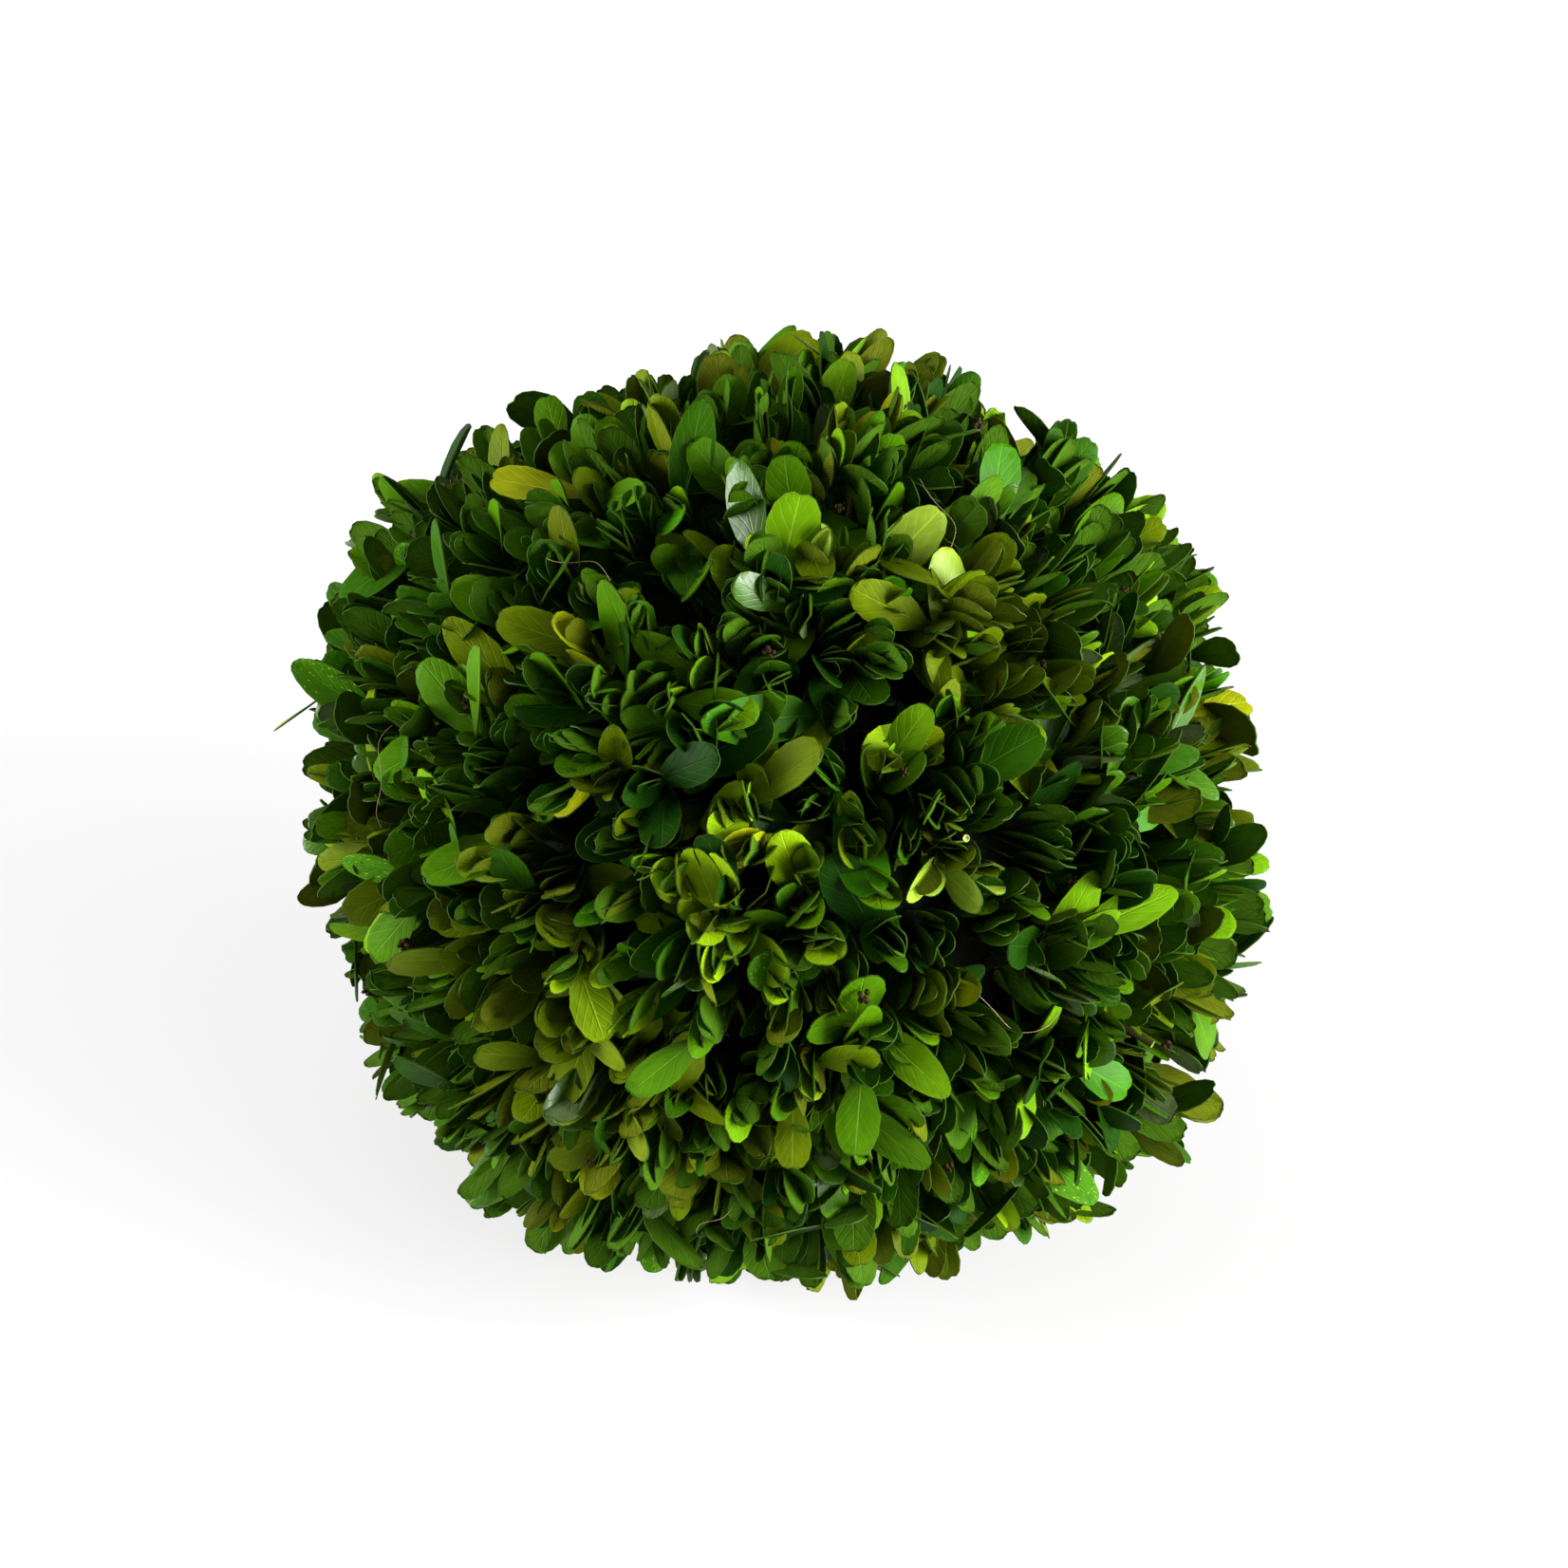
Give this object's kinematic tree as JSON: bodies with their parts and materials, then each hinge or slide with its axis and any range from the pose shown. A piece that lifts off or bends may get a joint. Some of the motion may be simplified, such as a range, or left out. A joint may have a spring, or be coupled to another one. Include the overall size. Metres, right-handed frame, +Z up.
{
  "type": "preserved box foliage ball",
  "caption": "Round ball of preserved box sprigs on a foam core, clipped evenly and pressed flat underneath, resting by itself.",
  "frame": {"origin": "middle of the flat underside that the ball rests on", "axes": "+Z up through the ball's middle, -Y towards the viewer of the picture, +X to the viewer's right"},
  "size_m": [0.2038, 0.2017, 0.1956],
  "materials": {
    "foam": "dark open-celled florist's foam",
    "foliage": "leathery box leaves with a satin wax gloss, deep green to yellow-green"
  },
  "bodies": {
    "root": {"foam_core": "foam", "foliage_crown": "foliage", "foliage_upper_1": "foliage", "foliage_upper_2": "foliage", "foliage_upper_3": "foliage", "foliage_upper_4": "foliage", "foliage_upper_5": "foliage", "foliage_lower_1": "foliage", "foliage_lower_2": "foliage", "foliage_lower_3": "foliage", "foliage_lower_4": "foliage", "foliage_lower_5": "foliage", "foliage_foot": "foliage"}
  },
  "joints": []
}
